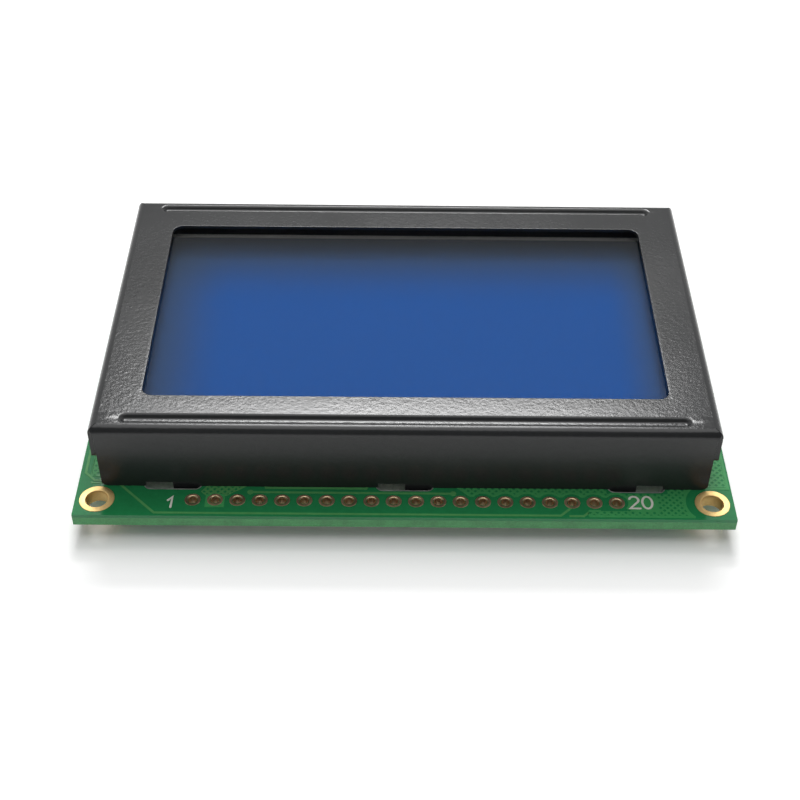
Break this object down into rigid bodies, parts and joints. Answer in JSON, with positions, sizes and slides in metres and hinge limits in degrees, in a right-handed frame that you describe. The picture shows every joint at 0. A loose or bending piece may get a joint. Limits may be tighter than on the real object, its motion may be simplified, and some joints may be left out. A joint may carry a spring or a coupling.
{
  "type": "graphic lcd module",
  "caption": "Graphic liquid crystal display module: glass cell and edge-lit backlight under a black stamped bezel, on a green circuit board with corner mounting holes and a header row.",
  "frame": {"origin": "under the middle of the circuit board, level with the lower ends of the bezel's tabs", "axes": "+X along the header row from its first hole, +Y from the header side to the rear, +Z out of the display's face"},
  "size_m": [0.075, 0.0528, 0.013],
  "materials": {
    "solder_mask": "glossy green lacquer on glass laminate",
    "gold_plating": "bright gold plating",
    "copper_plating": "dull copper with a clear coat",
    "black_paint": "satin black paint with a fine orange peel",
    "polarizer_film": "glossy blue film",
    "cell_glass": "polished",
    "rear_film": "glossy grey film",
    "contact_rubber": "layered silicone",
    "white_plastic": "moulded",
    "reflector": "bright white",
    "clear_acrylic": "clear",
    "diffuser": "frosted",
    "led_laminate": "thin laminate",
    "led_package": "cast resin",
    "tinned_metal": "tinned",
    "solder": "bright solder",
    "silicon": "polished",
    "black_resin": "poured black resin",
    "resistor_glaze": "dark glaze on ceramic",
    "tinned_ends": "tinned",
    "capacitor_ceramic": "fired ceramic",
    "moulded_package": "moulded",
    "tinned_leads": "tinned"
  },
  "bodies": {
    "root": {"circuit_board": "solder_mask", "mounting_hole_rings": "gold_plating", "header_hole_rings": "copper_plating", "bezel": "black_paint", "front_polarizer": "polarizer_film", "front_glass": "cell_glass", "rear_glass": "cell_glass", "rear_polarizer": "rear_film", "front_contact_strip": "contact_rubber", "rear_contact_strip": "contact_rubber", "backlight_frame": "white_plastic", "reflector_sheet": "reflector", "light_guide": "clear_acrylic", "diffuser_film": "diffuser", "led_board": "led_laminate", "leds": "led_package", "backlight_terminals": "tinned_metal", "terminal_solder": "solder", "driver_dies": "silicon", "driver_coatings": "black_resin", "resistor_bodies": "resistor_glaze", "resistor_ends": "tinned_ends", "capacitor_bodies": "capacitor_ceramic", "capacitor_ends": "tinned_ends", "inverter_body": "moulded_package", "inverter_leads": "tinned_leads"}
  },
  "joints": []
}
